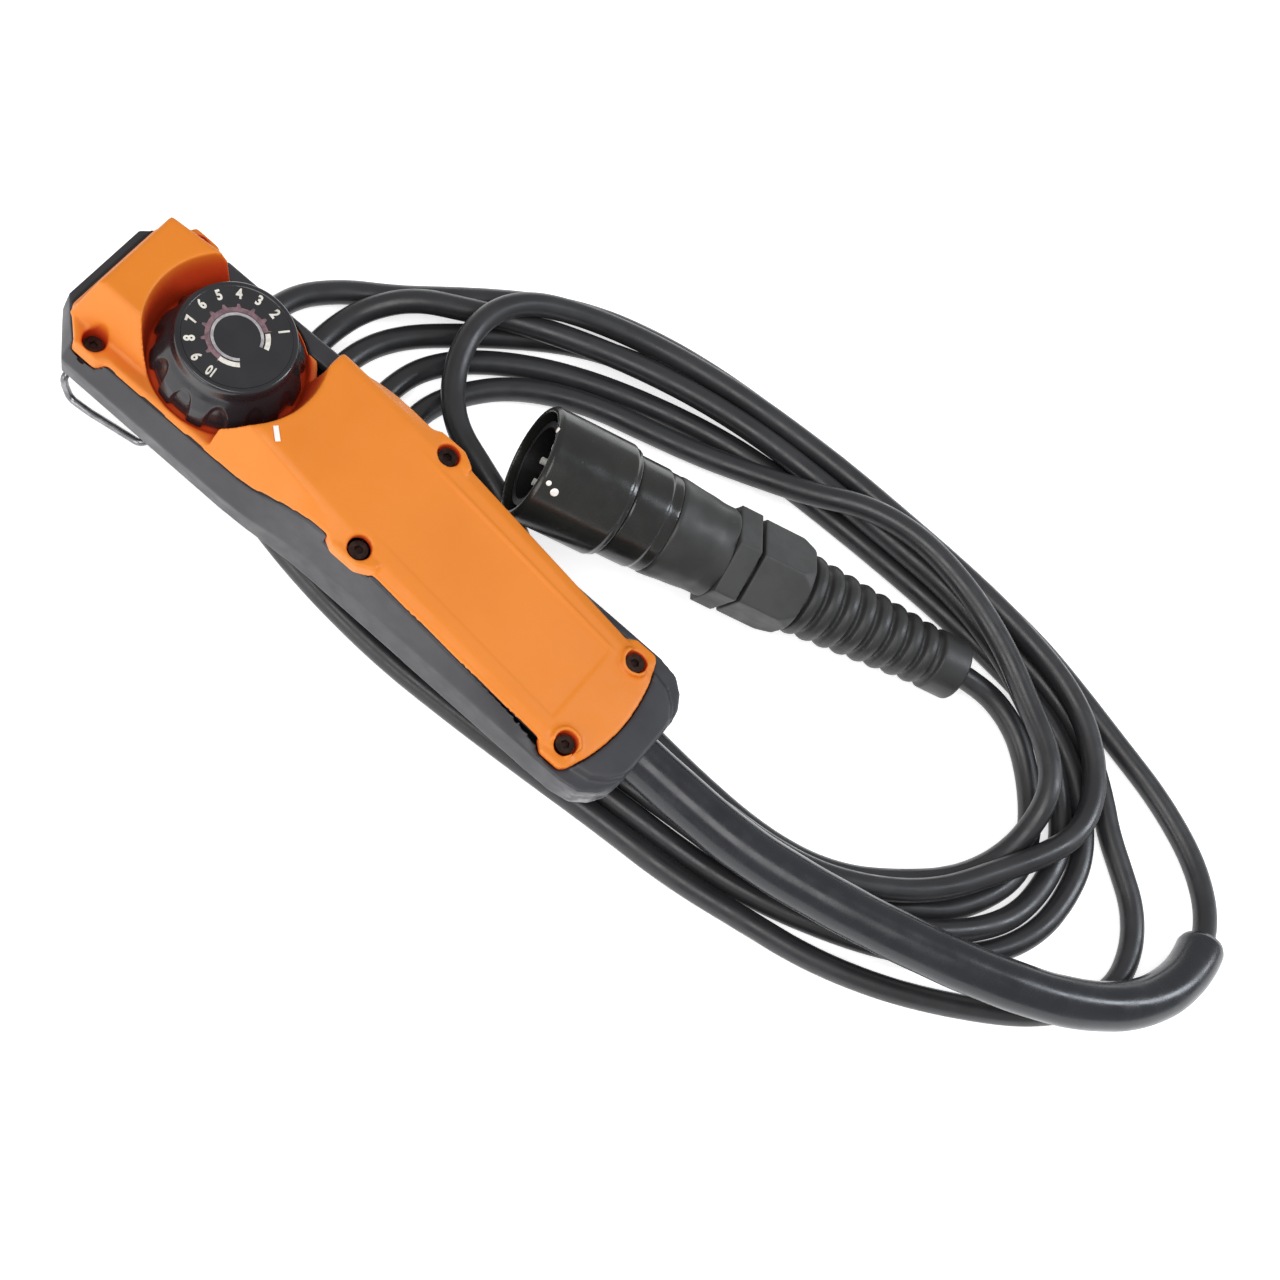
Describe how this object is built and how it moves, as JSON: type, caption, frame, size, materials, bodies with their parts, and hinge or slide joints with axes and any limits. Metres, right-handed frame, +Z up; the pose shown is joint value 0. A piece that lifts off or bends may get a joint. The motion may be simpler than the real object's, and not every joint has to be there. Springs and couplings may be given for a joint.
{
  "type": "pendant control station",
  "caption": "Hand-held wired remote with one rotary knob on an orange and black waisted housing, a sleeved coiled cable and a round multi-pin plug.",
  "frame": {"origin": "on the surface it lies on, under the middle of the handset's length and width", "axes": "+X along the handset from the knob end to the cable end, +Z up along the knob's axis, +Y to the left seen from the cable end"},
  "size_m": [0.4084, 0.1745, 0.0627],
  "materials": {
    "housing_black": "fine-grained moulded plastic, dark grey-black",
    "cover_orange": "moulded plastic, satin orange",
    "mark_white": "white inlay",
    "seal_rubber": "soft black rubber",
    "screw_steel": "dull zinc-plated steel",
    "insert_brass": "turned brass",
    "knob_black": "satin black moulded plastic",
    "dial_print": "black disc printed with a white scale and a toothed band",
    "plated_steel": "bright plated steel",
    "board_green": "green solder mask",
    "terminal_green": "green moulded plastic",
    "wire_insulation": "flexible insulation, several colours",
    "sleeve_rubber": "satin black rubber tube",
    "cable_jacket": "smooth black cable jacket",
    "clip_wire": "dark spring-steel wire",
    "shell_black": "black coated metal",
    "insert_plastic": "black insulating plastic",
    "pin_plating": "bright plated contacts",
    "gland_plastic": "black nylon",
    "boot_rubber": "black ribbed rubber"
  },
  "bodies": {
    "handset": {"bottom_housing": "housing_black", "top_cover": "cover_orange", "index_mark": "mark_white", "housing_gasket": "seal_rubber", "cover_screws": "screw_steel", "screw_inserts": "insert_brass", "potentiometer_body": "plated_steel", "potentiometer_nut": "plated_steel", "shaft_seal": "seal_rubber", "circuit_board": "board_green", "board_screws": "screw_steel", "terminal_block": "terminal_green", "lead_wires": "wire_insulation", "cable_clamp": "plated_steel", "clamp_screws": "screw_steel", "anti_kink_sleeve": "sleeve_rubber", "control_cable_lead": "cable_jacket", "control_cable_tail": "cable_jacket", "cable_coil": "cable_jacket", "plug_shell": "shell_black", "pin_insert": "insert_plastic", "contact_pins": "pin_plating", "interface_seal": "seal_rubber", "retaining_ring": "shell_black", "backshell": "shell_black", "gland_body": "gland_plastic", "gland_seal": "seal_rubber", "gland_nut": "gland_plastic", "bend_relief_boot": "boot_rubber", "plug_cable_end": "cable_jacket"},
    "knob": {"control_knob": "knob_black", "knob_dial": "dial_print", "knob_set_screw": "screw_steel", "potentiometer_shaft": "plated_steel"},
    "plug_coupling": {"coupling_ring": "shell_black"},
    "clip": {"belt_clip": "clip_wire"}
  },
  "joints": [
    {"name": "knob_turn", "type": "hinge", "parent": "handset", "child": "knob", "pos_m": [-0.0621, 0, 0.05], "axis": [0, 0, 1], "range_deg": [0, 300]},
    {"name": "coupling_ring_turn", "type": "hinge", "parent": "handset", "child": "plug_coupling", "pos_m": [0.02645, 0.04696, 0.03935], "axis": [0.9066, 0.3812, -0.1808], "range_deg": [0, 120]},
    {"name": "belt_clip_flex", "type": "hinge", "parent": "handset", "child": "clip", "pos_m": [-0.0995, 0, 0.0142], "axis": [0, 1, 0], "range_deg": [0, 5], "stiffness_Nm_per_rad": 2.5}
  ]
}
